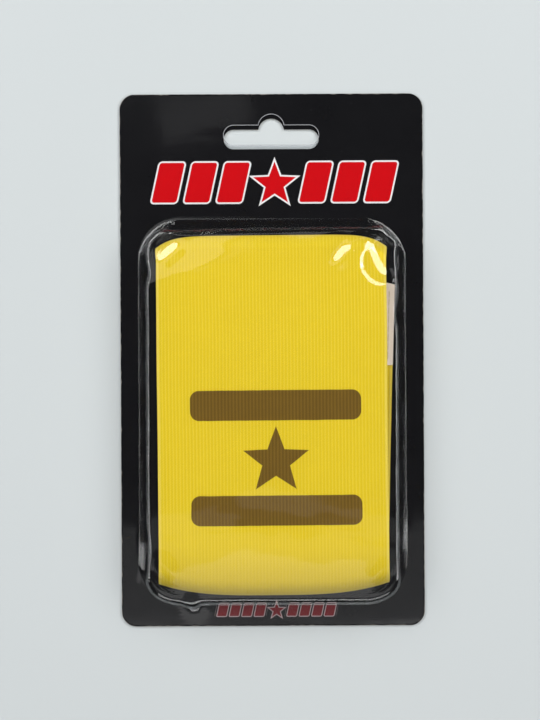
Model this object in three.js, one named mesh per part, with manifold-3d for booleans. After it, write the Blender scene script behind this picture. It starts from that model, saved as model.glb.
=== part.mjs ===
// A captain's armband on its blister card, lying on the card's back. Millimetres.
// X runs across the band, Y towards the hanging slot and Z up out of the card's face.
// The origin is the middle of the card's back face.
//
// The armband is one strip of ribbed elastic, bent into a loop and pressed flat. Its two ends lap at the
// back: the inner end comes down from the top fold, and the outer end comes up from the bottom fold and
// leans a little to the right. A hook patch on the outer end grips a loop patch on the inner end.
// A clear formed shell, sealed to the card's face, holds the loop.

import * as THREE from "three";
import { mergeVertices } from "three/addons/utils/BufferGeometryUtils.js";
import Module from "manifold-3d";

const wasm = await Module();
wasm.setup();

// Elastic band
const BAND_WIDTH = 76.2;
const BAND_THICK = 1.3;
const LOOP_LENGTH = 120; // fold to fold, outside, at the middle of the band
const LOOP_OPEN = 5.4; // clear height between the front panel and the inner end
const FRONT_CROWN = 0.6; // how much the front panel swells in its middle
const INNER_END_DIP = 1.6; // how far the inner end sinks on its way to the top fold
const OUTER_END_SHORT = 15.2; // from the top fold down to the edge of the outer end
const END_LAP = 30.5; // how far the two ends lie over each other
const OUTER_END_LEAN_DEG = 1.9;
const TOP_CORNER_DRAW = 4; // how far a corner of the top fold draws in from its middle
const BOTTOM_CORNER_DRAW = 4;
const DRAW_REACH = 26; // length of band beside a fold that takes part in the draw
const TOP_DRAW_POWER = 8; // a high power keeps the fold straight and rounds only its corners
const BOTTOM_DRAW_POWER = 3.3;
const BAND_DROP = 1; // the loop lies this far below the shell's middle
const BAND_TURN_DEG = 0.3;

// Hook and loop patches
const HOOK_LENGTH = 28.5;
const HOOK_THICK = 1;
const LOOP_PATCH_LENGTH = 28.5;
const LOOP_PATCH_THICK = 1;
const LOOP_PATCH_EDGE = 0.5; // from the edge of the inner end to the patch
const SEAM_GAP = 0.1; // between a patch and the band it is sewn to
const GRIP_GAP = 0.1; // between the two patches

// Card
const CARD_THICK = 0.6;
const CARD_CORNER = 5;
const HEADER_HEIGHT = 42.2; // card above the shell
const FLANGE_SIDE = 6; // card beside the shell
const FLANGE_FOOT = 7.2; // card below the shell
const LAY_GAP = 0.3; // between the card and the band lying on it

// Hanging slot
const SLOT_WIDTH = 32;
const SLOT_HEIGHT = 6.6;
const SLOT_BUMP_WIDTH = 8.6;
const SLOT_BUMP_RISE = 3.7;
const SLOT_DROP = 15.3; // from the card's top edge to the slot's middle line
const FILM_SLOT_SHIFT = 1.4; // the film's slot was punched this much higher than the card's

// Clear shell
const FILM_THICK = 0.4;
const FILM_EDGE = 0.5; // the film stops this far inside the card's outline
const SEAL_GAP = 0.1; // between the card and the film's flange
const SIDE_ROOM = 7; // from the band's edge to the foot of the side wall
const END_ROOM = 5;
const HEAD_ROOM = 1.6; // between the band's front and the film
const SHELL_CORNER = 14;
const WALL_DRAFT = 2.4; // how far a wall leans in on its way up
const SHOULDER_RADIUS = 2;
const ROOT_RADIUS = 1;
const FACE_CROWN = 0.8; // how far the face rises from its edge to its middle
const FACE_CROWN_POWER = 4; // a high power keeps the middle of the face flat

// Dents in the shell. Places and reach are shares of the shell's half width and half length,
// and each push is a share of the head room. Pushes point inwards and down.
const DENTS = [
  { across: 0.8, along: 0.8, reach: 0.2, pushX: -0.5, pushY: -0.5, pushZ: -0.65 },
  { across: 0.93, along: 0.5, reach: 0.1, pushX: -0.5, pushY: 0, pushZ: 0 },
  { across: -0.93, along: 0.71, reach: 0.09, pushX: 0.5, pushY: 0, pushZ: 0 },
  { across: -0.93, along: -0.69, reach: 0.12, pushX: 0.35, pushY: 0, pushZ: 0 },
];

// Fineness of the facets
const COLUMNS = 14;
const STRAIGHT_STEPS = 6;
const FRONT_STEPS = 14;
const FOLD_STEPS = 10;
const CORNER_STEPS = 9;
const SIDE_STEPS = 6;
const ARC_STEPS = 5;
const FACE_RINGS = [0.9, 0.76, 0.58, 0.34]; // shares of the shell's face, from its edge to its middle

const shellWidth = BAND_WIDTH + 2 * SIDE_ROOM;
const shellLength = LOOP_LENGTH + 2 * END_ROOM;
const cardWidth = shellWidth + 2 * FLANGE_SIDE;
const cardHeight = shellLength + FLANGE_FOOT + HEADER_HEIGHT;
const shellY = -cardHeight / 2 + FLANGE_FOOT + shellLength / 2;

// Levels of the layers, from the card up
const outerEndZ = CARD_THICK + LAY_GAP + BAND_THICK / 2;
const hookZ = outerEndZ + BAND_THICK / 2 + SEAM_GAP + HOOK_THICK / 2;
const loopPatchZ = hookZ + HOOK_THICK / 2 + GRIP_GAP + LOOP_PATCH_THICK / 2;
const innerEndZ = loopPatchZ + LOOP_PATCH_THICK / 2 + SEAM_GAP + BAND_THICK / 2;
const frontZ = innerEndZ + BAND_THICK + LOOP_OPEN;
const flangeZ = CARD_THICK + SEAL_GAP;
const shellDepth = frontZ + FRONT_CROWN + BAND_THICK / 2 + HEAD_ROOM + FILM_THICK - flangeZ - FILM_THICK;

// Places along the loop, measured from the loop's own middle
const topFoldY = LOOP_LENGTH / 2;
const bottomFoldY = -LOOP_LENGTH / 2;
const outerEndY = topFoldY - OUTER_END_SHORT;
const innerEndY = outerEndY - END_LAP;

const { degToRad, smoothstep } = THREE.MathUtils;

// The loop's shape in space: corners of the folds draw in, and the outer end leans to the right.
function settle(across, y, z) {
  const share = Math.abs(across) / (BAND_WIDTH / 2);
  const atTop = smoothstep(y, topFoldY - DRAW_REACH, topFoldY);
  const atBottom = 1 - smoothstep(y, bottomFoldY, bottomFoldY + DRAW_REACH);
  const drawn =
    y -
    atTop * TOP_CORNER_DRAW * share ** TOP_DRAW_POWER +
    atBottom * BOTTOM_CORNER_DRAW * share ** BOTTOM_DRAW_POWER;
  const onOuterEnd = z < hookZ + HOOK_THICK / 2 + GRIP_GAP / 2 && y < outerEndY + BAND_THICK;
  const lean = onOuterEnd ? Math.tan(degToRad(OUTER_END_LEAN_DEG)) * (y - bottomFoldY) : 0;
  return new THREE.Vector3(across + lean, drawn, z);
}

// A closed strip whose middle line follows the stations {y, z, swell}. The outer skin lies on the right
// of the way along, as seen from +X, and a row of points runs across the strip at each station.
function stripGeometry(stations, thick) {
  const points = [];
  for (const side of [0.5, -0.5]) {
    stations.forEach((station, i) => {
      const before = stations[Math.max(i - 1, 0)];
      const after = stations[Math.min(i + 1, stations.length - 1)];
      const way = new THREE.Vector2(after.y - before.y, after.z - before.z).normalize();
      for (let column = 0; column <= COLUMNS; column++) {
        const across = (BAND_WIDTH / 2) * Math.sin(Math.PI * (column / COLUMNS - 0.5));
        const swell = (station.swell ?? 0) * (1 - (across / (BAND_WIDTH / 2)) ** 2);
        const y = station.y + way.y * thick * side;
        const z = station.z - way.x * thick * side + swell;
        points.push(settle(across, y, z));
      }
    });
  }
  const row = COLUMNS + 1;
  const skin = stations.length * row;
  const outer = (i, j) => i * row + j;
  const inner = (i, j) => skin + i * row + j;
  const faces = [];
  const quad = (a, b, c, d) => faces.push(a, b, c, a, c, d);
  for (let i = 0; i < stations.length - 1; i++) {
    for (let j = 0; j < COLUMNS; j++) {
      quad(outer(i, j), outer(i + 1, j), outer(i + 1, j + 1), outer(i, j + 1));
      quad(inner(i, j), inner(i, j + 1), inner(i + 1, j + 1), inner(i + 1, j));
    }
    quad(outer(i, 0), inner(i, 0), inner(i + 1, 0), outer(i + 1, 0));
    quad(outer(i, COLUMNS), outer(i + 1, COLUMNS), inner(i + 1, COLUMNS), inner(i, COLUMNS));
  }
  const last = stations.length - 1;
  for (let j = 0; j < COLUMNS; j++) {
    quad(outer(0, j), outer(0, j + 1), inner(0, j + 1), inner(0, j));
    quad(outer(last, j), inner(last, j), inner(last, j + 1), outer(last, j + 1));
  }
  const geometry = new THREE.BufferGeometry().setFromPoints(points);
  geometry.setIndex(faces);
  geometry.computeVertexNormals();
  return geometry;
}

// Stations on a straight run, without its last point.
function straight(fromY, fromZ, toY, toZ, steps, crown = 0) {
  return Array.from({ length: steps }, (_, i) => {
    const share = i / steps;
    return {
      y: fromY + (toY - fromY) * share,
      z: fromZ + (toZ - fromZ) * share,
      swell: crown * (1 - (2 * share - 1) ** 4),
    };
  });
}

// Stations round half a circle, without its last point.
function halfTurn(centreY, centreZ, radius, startDeg) {
  return Array.from({ length: FOLD_STEPS }, (_, i) => {
    const angle = degToRad(startDeg + (180 * i) / FOLD_STEPS);
    return { y: centreY + radius * Math.cos(angle), z: centreZ + radius * Math.sin(angle) };
  });
}

function bandStations() {
  const dippedZ = innerEndZ - INNER_END_DIP;
  const topRadius = (frontZ - dippedZ) / 2;
  const bottomRadius = (frontZ - outerEndZ) / 2;
  const topCentreY = topFoldY - BAND_THICK / 2 - topRadius;
  const bottomCentreY = bottomFoldY + BAND_THICK / 2 + bottomRadius;
  const dipStartY = outerEndY + BAND_THICK;
  return [
    ...straight(innerEndY, innerEndZ, dipStartY, innerEndZ, STRAIGHT_STEPS),
    ...straight(dipStartY, innerEndZ, topCentreY, dippedZ, STRAIGHT_STEPS),
    ...halfTurn(topCentreY, (frontZ + dippedZ) / 2, topRadius, -90),
    ...straight(topCentreY, frontZ, bottomCentreY, frontZ, FRONT_STEPS, FRONT_CROWN),
    ...halfTurn(bottomCentreY, (frontZ + outerEndZ) / 2, bottomRadius, 90),
    ...straight(bottomCentreY, outerEndZ, outerEndY, outerEndZ, FRONT_STEPS),
    { y: outerEndY, z: outerEndZ },
  ];
}

function patchGeometry(fromY, toY, z, thick) {
  return stripGeometry([...straight(fromY, z, toY, z, STRAIGHT_STEPS), { y: toY, z }], thick);
}

function roundedOutline(shape, width, height, corner) {
  const x = width / 2 - corner;
  const y = height / 2 - corner;
  shape.absarc(x, y, corner, 0, Math.PI / 2);
  shape.absarc(-x, y, corner, Math.PI / 2, Math.PI);
  shape.absarc(-x, -y, corner, Math.PI, 1.5 * Math.PI);
  shape.absarc(x, -y, corner, 1.5 * Math.PI, 2 * Math.PI);
  return shape;
}

// The hanging slot: a long round-ended hole with a round bump in the middle of its upper edge.
function hangSlot(middleY) {
  const end = SLOT_HEIGHT / 2;
  const run = SLOT_WIDTH / 2 - end;
  const half = SLOT_BUMP_WIDTH / 2;
  const bumpRadius = (half ** 2 + SLOT_BUMP_RISE ** 2) / (2 * SLOT_BUMP_RISE);
  const bumpY = middleY + end + SLOT_BUMP_RISE - bumpRadius;
  const start = Math.asin((middleY + end - bumpY) / bumpRadius);
  const slot = new THREE.Path();
  slot.absarc(run, middleY, end, -Math.PI / 2, Math.PI / 2);
  slot.absarc(0, bumpY, bumpRadius, start, Math.PI - start);
  slot.absarc(-run, middleY, end, Math.PI / 2, 1.5 * Math.PI);
  return slot;
}

// A flat plate of the card's outline, less an edge, with the hanging slot cut through it.
function plateGeometry(edge, thick, slotShift) {
  const outline = roundedOutline(
    new THREE.Shape(),
    cardWidth - 2 * edge,
    cardHeight - 2 * edge,
    CARD_CORNER - edge,
  );
  outline.holes.push(hangSlot(cardHeight / 2 - SLOT_DROP + slotShift));
  return new THREE.ExtrudeGeometry(outline, {
    depth: thick,
    bevelEnabled: false,
    curveSegments: CORNER_STEPS,
  });
}

// Inset and height of the shell's profile, from its foot over the wall and the shoulder to the edge of
// the face. inward is 0 for the outer skin, and the film's thickness for the inner one.
function shellProfile(inward) {
  const profile = [];
  const shoulderInset = ROOT_RADIUS + WALL_DRAFT + SHOULDER_RADIUS;
  const shoulderHeight = shellDepth - FACE_CROWN - SHOULDER_RADIUS;
  for (let i = 0; i <= ARC_STEPS; i++) {
    const angle = ((Math.PI / 2) * i) / ARC_STEPS;
    const radius = ROOT_RADIUS + inward;
    profile.push({ inset: radius * Math.sin(angle), height: ROOT_RADIUS - radius * Math.cos(angle) });
  }
  for (let i = 0; i <= ARC_STEPS; i++) {
    const angle = ((Math.PI / 2) * i) / ARC_STEPS;
    const radius = SHOULDER_RADIUS - inward;
    profile.push({
      inset: shoulderInset - radius * Math.cos(angle),
      height: shoulderHeight + radius * Math.sin(angle),
    });
  }
  return profile;
}

// One ring of the shell: a rounded rectangle with points along its sides as well as its corners.
function shellRing(inset, z) {
  const corner = SHELL_CORNER - inset;
  const x = shellWidth / 2 - SHELL_CORNER;
  const y = shellLength / 2 - SHELL_CORNER;
  const centres = [[x, y], [-x, y], [-x, -y], [x, -y]];
  const ring = [];
  centres.forEach(([centreX, centreY], side) => {
    for (let i = 0; i <= CORNER_STEPS; i++) {
      const angle = (Math.PI / 2) * (side + i / CORNER_STEPS);
      ring.push(new THREE.Vector3(centreX + corner * Math.cos(angle), centreY + corner * Math.sin(angle), z));
    }
    const next = (Math.PI / 2) * (side + 1);
    const [nextX, nextY] = centres[(side + 1) % centres.length];
    const from = ring[ring.length - 1];
    const to = new THREE.Vector3(nextX + corner * Math.cos(next), nextY + corner * Math.sin(next), z);
    for (let i = 1; i < SIDE_STEPS; i++) ring.push(from.clone().lerp(to, i / SIDE_STEPS));
  });
  return ring;
}

function dent(point) {
  for (const { across, along, reach, pushX, pushY, pushZ } of DENTS) {
    const away = Math.hypot(
      point.x - (across * shellWidth) / 2,
      point.y - (along * shellLength) / 2,
    );
    const share = away / ((reach * shellLength) / 2);
    const fade = share < 1 ? Math.cos((share * Math.PI) / 2) ** 2 : 0;
    const lift = smoothstep(point.z, 0, shellDepth);
    point.x += fade * lift * pushX * HEAD_ROOM;
    point.y += fade * lift * pushY * HEAD_ROOM;
    point.z += fade * lift * pushZ * HEAD_ROOM;
  }
}

// The space under one skin of the shell as a closed body, reaching below its foot by skirt.
function shellBody(inward, skirt) {
  const profile = shellProfile(inward);
  const rings = profile.map(({ inset, height }) => shellRing(inset, height));
  rings.unshift(shellRing(profile[0].inset, profile[0].height - skirt));
  const faceEdge = rings[rings.length - 1];
  for (const share of FACE_RINGS) {
    const rise = FACE_CROWN * (1 - share ** FACE_CROWN_POWER);
    rings.push(faceEdge.map(({ x, y, z }) => new THREE.Vector3(x * share, y * share, z + rise)));
  }
  const points = rings.flat();
  const count = faceEdge.length;
  const bottom = points.push(new THREE.Vector3(0, 0, rings[0][0].z)) - 1;
  const top = points.push(new THREE.Vector3(0, 0, faceEdge[0].z + FACE_CROWN)) - 1;
  points.forEach(dent);
  const faces = [];
  for (let j = 0; j < count; j++) {
    const next = (j + 1) % count;
    faces.push(bottom, next, j);
    for (let i = 0; i < rings.length - 1; i++) {
      const a = i * count + j;
      const b = i * count + next;
      faces.push(a, b, b + count, a, b + count, a + count);
    }
    const edge = (rings.length - 1) * count;
    faces.push(edge + j, edge + next, top);
  }
  const geometry = new THREE.BufferGeometry().setFromPoints(points);
  geometry.setIndex(faces);
  return geometry;
}

function solidOf(geometry) {
  const bare = geometry.clone();
  bare.deleteAttribute("normal");
  bare.deleteAttribute("uv");
  const merged = mergeVertices(bare);
  return new wasm.Manifold(
    new wasm.Mesh({
      numProp: 3,
      vertProperties: new Float32Array(merged.attributes.position.array),
      triVerts: new Uint32Array(merged.index.array),
    }),
  );
}

function geometryOf(solid) {
  const { vertProperties, triVerts } = solid.getMesh();
  const geometry = new THREE.BufferGeometry();
  geometry.setAttribute("position", new THREE.BufferAttribute(vertProperties, 3));
  geometry.setIndex(new THREE.BufferAttribute(triVerts, 1));
  geometry.computeVertexNormals();
  return geometry;
}

// The shell's own zero height is the flange's upper face, and its middle is the shell's middle.
function shellGeometry() {
  const flange = plateGeometry(FILM_EDGE, FILM_THICK, FILM_SLOT_SHIFT).translate(0, -shellY, -FILM_THICK);
  const outer = solidOf(shellBody(0, FILM_THICK / 2));
  const cavity = solidOf(shellBody(FILM_THICK, FILM_THICK));
  return geometryOf(solidOf(flange).add(outer).subtract(cavity));
}

function piece(name, geometry, color, roughness, options = {}) {
  const mesh = new THREE.Mesh(
    geometry,
    new THREE.MeshStandardMaterial({ color, roughness, metalness: 0, ...options }),
  );
  mesh.name = name;
  return mesh;
}

const card = piece("backing_card", plateGeometry(0, CARD_THICK, 0), 0x121212, 0.4);

const shell = piece("clear_shell", shellGeometry(), 0xf2f6f7, 0.06, { transparent: true, opacity: 0.25 });
shell.position.set(0, shellY, flangeZ + FILM_THICK);

const band = piece("elastic_band", stripGeometry(bandStations(), BAND_THICK), 0xe6c81e, 0.85);
const hookPatch = piece(
  "hook_patch",
  patchGeometry(outerEndY - HOOK_LENGTH, outerEndY, hookZ, HOOK_THICK),
  0xd0bda6,
  0.9,
);
const loopPatchStartY = innerEndY + LOOP_PATCH_EDGE;
const loopPatch = piece(
  "loop_patch",
  patchGeometry(loopPatchStartY, loopPatchStartY + LOOP_PATCH_LENGTH, loopPatchZ, LOOP_PATCH_THICK),
  0xd0bda6,
  0.95,
);

const armband = new THREE.Group();
armband.add(band, hookPatch, loopPatch);
armband.position.set(0, shellY - BAND_DROP, 0);
armband.rotation.z = degToRad(BAND_TURN_DEG);

const blisterCard = new THREE.Group();
blisterCard.add(card, shell, armband);

export default blisterCard;
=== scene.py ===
"""A captain's armband in its clear blister on a hanging card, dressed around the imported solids.

Metres, with X across the band, Y towards the hanging slot and Z up out of the card's face.
"""

import math

import bmesh
import bpy
import numpy as np
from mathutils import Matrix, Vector, noise


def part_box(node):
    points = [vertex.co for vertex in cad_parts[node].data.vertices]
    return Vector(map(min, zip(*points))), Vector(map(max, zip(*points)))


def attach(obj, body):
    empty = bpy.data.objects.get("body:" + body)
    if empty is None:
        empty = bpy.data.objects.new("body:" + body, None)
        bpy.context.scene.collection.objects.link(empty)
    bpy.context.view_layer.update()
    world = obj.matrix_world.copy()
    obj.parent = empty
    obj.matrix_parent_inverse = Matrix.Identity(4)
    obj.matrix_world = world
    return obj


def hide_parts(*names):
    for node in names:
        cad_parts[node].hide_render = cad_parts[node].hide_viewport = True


MM = 0.001
FACING = 0.9  # the least share of a way along an axis that counts as facing it

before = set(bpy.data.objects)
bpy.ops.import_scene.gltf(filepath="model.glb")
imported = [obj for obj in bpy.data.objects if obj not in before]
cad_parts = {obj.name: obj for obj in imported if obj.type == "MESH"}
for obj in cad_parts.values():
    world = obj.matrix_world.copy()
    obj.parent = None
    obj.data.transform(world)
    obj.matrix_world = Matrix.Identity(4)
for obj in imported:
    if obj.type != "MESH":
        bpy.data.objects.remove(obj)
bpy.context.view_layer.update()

card_low, card_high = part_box("backing_card")
shell_low, shell_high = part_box("clear_shell")
band_low, band_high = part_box("elastic_band")
hook_low, hook_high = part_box("hook_patch")
loop_low, loop_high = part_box("loop_patch")

# Elastic strip
BAND_WIDTH = 76.2 * MM
BAND_THICK = 1.3 * MM
FRONT_CROWN = 0.6 * MM
INNER_END_DIP = 1.6 * MM
OUTER_END_SHORT = 15.2 * MM
END_LAP = 30.5 * MM
SEAM_GAP = 0.1 * MM
OUTER_END_LEAN = math.radians(1.9)
BAND_TURN = math.radians(0.3)
CORNER_DRAW = 4 * MM
DRAW_REACH = 26 * MM
TOP_DRAW_POWER = 8
BOTTOM_DRAW_POWER = 3.3
RIBS = 68
RIB_POINTS = 4  # points across each rib
RIB_FULLNESS = 0.6  # under 1, the ribs are fuller and the valleys between them narrower
VALLEY_SHARE = 0.955  # thickness of the elastic between two ribs, as a share of its full thickness
RIPPLE = 0.16 * MM
RIPPLE_SCALE = (35, 45, 60)  # cells of the ripple's noise to a metre, in X, Y and Z
LOOP_PITCH = 0.55 * MM  # one row of knitted loops
FOOT_PAINTED_SHADE_FROM = 2 * MM  # above the band's foot, where the painted shade of the bottom fold starts to fade
FOOT_PAINTED_SHADE_TO = 19 * MM
SELVEDGE_INNER = 1.3 * MM  # in from the strip's edge, where its pale selvedge starts
SELVEDGE_OUTER = 0.5 * MM
INNER_STEPS = 12
DIP_STEPS = 5
TOP_FOLD_STEPS = 14
FRONT_STEPS = 42
BOTTOM_FOLD_STEPS = 16
OUTER_STEPS = 30

# Print on the band's front
PRINT_MIDDLE_X = 1.1 * MM
PRINT_MIDDLE_Y = -32.4 * MM
PRINT_HALF_WIDTH = 28.3 * MM
PRINT_HALF_HEIGHT = 22.4 * MM
PRINT_BAR = 10 * MM
PRINT_CORNER = 3 * MM
PRINT_STAR = 11.5 * MM
STAR_INNER = 0.42  # a star's inner corners, as a share of its size
STAR_DROP = 0.09  # how far the star's centre lies under the print's middle, as a share of its size
INK_EDGE = 0.12 * MM
INK_RAGGED = 0.25 * MM

# Patches
PATCH_LENGTH = 28.5 * MM
PATCH_INSET = 0.5 * MM
TAPE_THICK = 0.38 * MM
TAPE_STEPS = 30
TAPE_COLUMNS = 76
WARP_PITCH = 0.55 * MM
WEFT_PITCH = 0.5 * MM
SEAM_INSET = 1.8 * MM
STITCH_LENGTH = 2.3 * MM
STITCH_PITCH = 3 * MM
STITCH_WIDTH = 0.34 * MM
STITCH_END_OUT = 0.6  # how far a stitch's end goes on, as a share of its width
STITCH_END_DROP = 0.3
STITCH_END_SIZE = 0.5
THREAD_TWIST = 9000.0  # radians to a metre
HOOK_PITCH = 1.45 * MM
HOOK_MARGIN = 1.6 * MM
HOOK_WIRE = 0.22 * MM
HOOK_BENDS = (
    # lift and reach as shares of the hook's height, turn in degrees
    (0.22, 0.1, 35),
    (0.14, 0.2, 45),
    (-0.06, 0.18, 50),
)

# Film
FILM_THICK = 0.4 * MM
FILM_EDGE_CORNER = 4.5 * MM
FLANGE_SIDE = 6 * MM
FLANGE_FOOT = 7.2 * MM
SHELL_LENGTH = 130 * MM
SHELL_CORNER = 14 * MM
ROOT_RADIUS = 0.22 * MM
TOP_CORNER_ROOT = 1.6 * MM
LEAST_WALL_INSET = 0.1 * MM
WALL_DRAFT = 3.2 * MM
BOTTOM_DRAFT = 1.0 * MM
CORNER_DRAFT = 0.7 * MM
TOP_LEFT_DRAFT = 1.4 * MM  # more draft on the top wall, at its left end
SIDE_SHOULDER = 1.2 * MM
BOTTOM_SHOULDER = 3.0 * MM
CORNER_SHOULDER = 3.2 * MM
FACE_CROWN = 0.8 * MM
FACE_CROWN_POWER = 10  # how flat the face stays until near its ends
LEVEL_MARGIN = 0.01 * MM
HEAD_ROOM = 1.6 * MM  # the size of a full push in a dent
HIGH_FROM = 0.7  # the share of the full lift above which dimples and slopes act
FOLD_LIFT = 0.6  # how far a fold rises, as a share of its push
FACE_RIPPLE = 0.1 * MM
FINE_SHARE = 0.35
WALL_RIPPLE = 0.13 * MM
FLANGE_SHARE = 0.2  # how much of the face's ripple the flange has
BROAD_SCALE = 45  # cells of each ripple's noise to a metre
FINE_SCALE = 130
WALL_SCALE = 55
FILM_IOR = 1.57
HEAD_FROM = 3.5 * MM  # depth under the tray's top, from which the film's grain grows
HEAD_TO = 1.5 * MM  # depth at which it is full
DRAW_LINES_NEAR = (5.4 * MM, 6.4 * MM)  # from a corner's centre, where the drawn lines come in
DRAW_LINES_FAR = (8.4 * MM, 9.0 * MM)  # and where they end
DRAW_LINES_STRETCH = 0.002  # metres of grain to a radian

# How finely the film is meshed
CORNER_POINTS = 36
SIDE_POINTS_X = 80
SIDE_POINTS_Y = 120
FLANGE_RINGS = 7
ROOT_STEPS = 4
WALL_STEPS = 6
SHOULDER_STEPS = 9
FACE_INSETS = 8
FACE_INSET = 0.8 * MM
FACE_RINGS = 26
FLANGE_SPACING = 1.8  # over 1, the flange's rings lie closer towards the tray
FACE_SPACING = 1.5  # over 1, the face's rings lie closer towards its edge

# Dents in the film: places as shares of the tray's half width and half length, reach as a share of the
# half length, and pushes as shares of the head room
DENTS = (
    # across, along, reach, push x, push y, push z
    (0.8, 0.8, 0.2, -0.5, -0.5, -0.3),
    (0.93, 0.5, 0.1, -0.5, 0, 0),
    (-0.93, 0.71, 0.07, 0.6, 0, 0),
    (-0.93, -0.69, 0.12, 0.35, 0, 0),
    (-0.61, -0.97, 0.075, 0.5, -0.85, -0.4),
)

# Round dimples in the face, in millimetres from the tray's middle
DIMPLES = (
    # across, along, radius, stretch along the tray, width of the rim, depth
    (36.8, 50.2, 6.6, 1.18, 2.8, 0.85),
    (-3.5, -79.5, 31.0, 1.0, 9.0, 0.2),
)

# Slopes in the face that look one way, in millimetres and degrees from the tray's middle
SLOPES = (
    # across, along, length beside the way, width on it, way, tilt
    (-34.3, 53.9, 9.5, 2.9, 127, 21),
    (22.9, 53.0, 9.5, 3.1, 140, 28),
    (26.3, 54.9, 4.5, 1.1, 130, 28),
    (29.3, 57.0, 4.6, 0.9, 114, 28),
    (35.6, 51.0, 12.5, 3.0, 24, 24),
    (-36.5, -52.0, 9.0, 2.6, 225, 22),
    (36.0, -54.0, 8.0, 2.4, 318, 20),
    (-38.0, 49.0, 40.0, 8.5, 100, 8.8),
    (12.0, 55.0, 26.0, 9.0, 100, 1.5),
    (2.5, -28.6, 26.0, 7.0, 258, 2.0),
)

# Folds at the tray's foot, pushed one way, in millimetres and degrees from the tray's middle
FOLDS = (
    # across, along, length on the way, width beside it, way, push
    (-28.0, -62.8, 8.0, 4.0, -52, 2.1),
    (-44.6, -48.0, 3.0, 16.0, 174, 0.4),
    (44.4, -40.0, 3.0, 20.0, 2, 0.4),
)

# Hanging slot
SLOT_WIDTH = 32 * MM
SLOT_HEIGHT = 6.6 * MM
SLOT_BUMP_WIDTH = 8.6 * MM
SLOT_BUMP_RISE = 3.7 * MM
SLOT_DROP = 15.3 * MM
FILM_SLOT_SHIFT = 1.4 * MM
FILM_SLOT_HIGHLIGHT_REACH = 0.3 * MM  # how far from the slot's edge the painted highlight reaches
SLOT_END_SHARE = 0.499  # just under half the height, so that the ends come out round
CUTTER_DEPTH = 6 * FILM_THICK
BUMP_CUTTER_SHARE = 0.99  # the bump's cutter is a little shorter, so that no two end faces coincide

# Card
CARD_CORNER = 5 * MM
WEAR_SPREAD = 0.9 * MM  # how unevenly the wear goes in from the card's edge
WEAR_EDGE = (0.2 * MM, 0.55 * MM)  # where it starts and is full
ROW_SLANT = 0.22
ROW_STAR_DROP = 0.08  # as STAR_DROP, in the printed rows
PRINT_SHARP = 0.05 * MM

# The rows printed on the card, in millimetres, with colours from 0 to 255
PRINT_ROWS = (
    {
        "middle_x": 1.1,
        "middle_y": 59.9,
        "height": 13.4,
        "block": 8.4,
        "pitch": 11,
        "blocks": 3,
        "gap": 8.4,
        "star": 7.6,
        "corner": 0.9,
        "keyline": 0.55,
        "ink": (208, 8, 18),
        "pale": (240, 238, 238),
    },
    {
        "middle_x": 1.1,
        "middle_y": -84.25,
        "height": 4.2,
        "block": 3.1,
        "pitch": 4.2,
        "blocks": 4,
        "gap": 3.4,
        "star": 2.7,
        "corner": 0.3,
        "keyline": 0.3,
        "ink": (120, 22, 30),
        "pale": (182, 160, 162),
    },
)

# Setting
FLOOR_SIZE = 4
FLOOR_DROP = 0.02 * MM
SENSOR = 36
PHOTO_HEIGHT = 243.1 * MM  # what the photo takes in at the card, from its top to its bottom edge
CAMERA_HEIGHT = 600 * MM
CAMERA_X = -0.74 * MM
CAMERA_Y = -0.03 * MM
CAMERA_ROLL = math.radians(-0.28)
NEAREST_SEEN = 0.01
SEE_THROUGH_BOUNCES = 24
WORLD_TONE = (0.04, 0.04, 0.042, 1)
PANELS = (
    # name, azimuth and tilt in degrees, distance, width and height in metres, power in watts
    ("panel_top_left", 134, 50, 1.2, 1.05, 0.52, 8.1),
    ("panel_top_right", 44, 50, 1.2, 1.1, 0.52, 8.1),
    ("panel_left", 180, 50, 1.2, 0.7, 0.4, 4.4),
    ("panel_right", 0, 50, 1.2, 0.7, 0.4, 5.2),
    ("panel_bottom", 270, 50, 1.3, 1.3, 0.3, 4.0),
    ("panel_above_bottom", 270, 23, 1.3, 1.2, 0.72, 0.47),
    ("panel_dome", 270, 19, 1.3, 0.6, 0.3, 0.2),
    ("panel_above_top", 124, 22, 1.3, 0.8, 0.34, 0.46),
    ("panel_header", 104.7, 12.1, 1.28, 0.1, 0.05, 0.0024),
)

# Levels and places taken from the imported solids
outer_end_z = band_low.z + BAND_THICK / 2
inner_end_z = loop_high.z + SEAM_GAP + BAND_THICK / 2
front_z = band_high.z - FRONT_CROWN - BAND_THICK / 2
loop_middle_y = (band_low.y + band_high.y) / 2
top_fold_y = (band_high.y - band_low.y) / 2
bottom_fold_y = -top_fold_y
outer_end_y = top_fold_y - OUTER_END_SHORT
inner_end_y = outer_end_y - END_LAP
flange_z = shell_low.z + FILM_THICK
shell_half = Vector((card_high.x - FLANGE_SIDE, SHELL_LENGTH / 2, 0))
shell_middle = Vector((0, card_low.y + FLANGE_FOOT + SHELL_LENGTH / 2, 0))
shell_depth = shell_high.z - flange_z
film_slot_y = card_high.y - SLOT_DROP + FILM_SLOT_SHIFT


def smoothstep(value, low, high):
    """A soft step from 0 at low to 1 at high."""
    share = np.clip((value - low) / (high - low), 0, 1)
    return share * share * (3 - 2 * share)


def paint(red, green, blue, alpha=1):
    """A colour from its 0 to 255 values on screen."""
    light = []
    for value in (red, green, blue):
        share = value / 255
        light.append(share / 12.92 if share <= 0.04045 else ((share + 0.055) / 1.055) ** 2.4)
    return (*light, alpha)


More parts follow.
